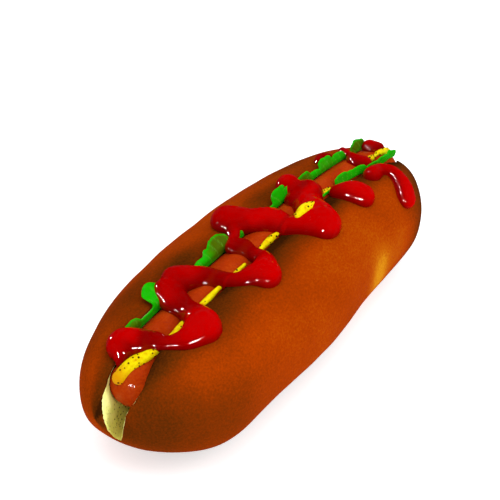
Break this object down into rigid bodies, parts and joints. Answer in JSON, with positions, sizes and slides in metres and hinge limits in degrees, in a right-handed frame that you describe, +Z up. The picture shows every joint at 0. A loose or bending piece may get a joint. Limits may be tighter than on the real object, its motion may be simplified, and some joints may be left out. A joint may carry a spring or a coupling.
{
  "type": "hot dog",
  "caption": "Hot dog in a split soft roll, with a frankfurter, lettuce, grain mustard and a zigzag of ketchup; food to be set down on its flat underside.",
  "frame": {"origin": "on the flat underside of the roll, under the middle of its length and under the slit", "axes": "+X along the roll from the end where the sausage's nose and the crumb show to the far end, +Y to the left flank, +Z up"},
  "size_m": [0.1599, 0.0651, 0.0511],
  "materials": {
    "bread": "baked brown crust with a soft sheen, pale yellow crumb where it is cut",
    "sausage": "smooth moist skin",
    "lettuce": "crisp fresh leaf with a light sheen",
    "mustard": "wet yellow paste with dark seeds",
    "ketchup": "wet and glossy"
  },
  "bodies": {
    "root": {"bun": "bread", "sausage": "sausage", "lettuce_left": "lettuce", "lettuce_right": "lettuce", "mustard_near": "mustard", "mustard_middle": "mustard", "mustard_dab": "mustard", "mustard_end": "mustard", "ketchup_zigzag": "ketchup", "ketchup_drop": "ketchup", "ketchup_tail": "ketchup", "ketchup_curl": "ketchup", "ketchup_tip": "ketchup", "ketchup_hook": "ketchup"}
  },
  "joints": []
}
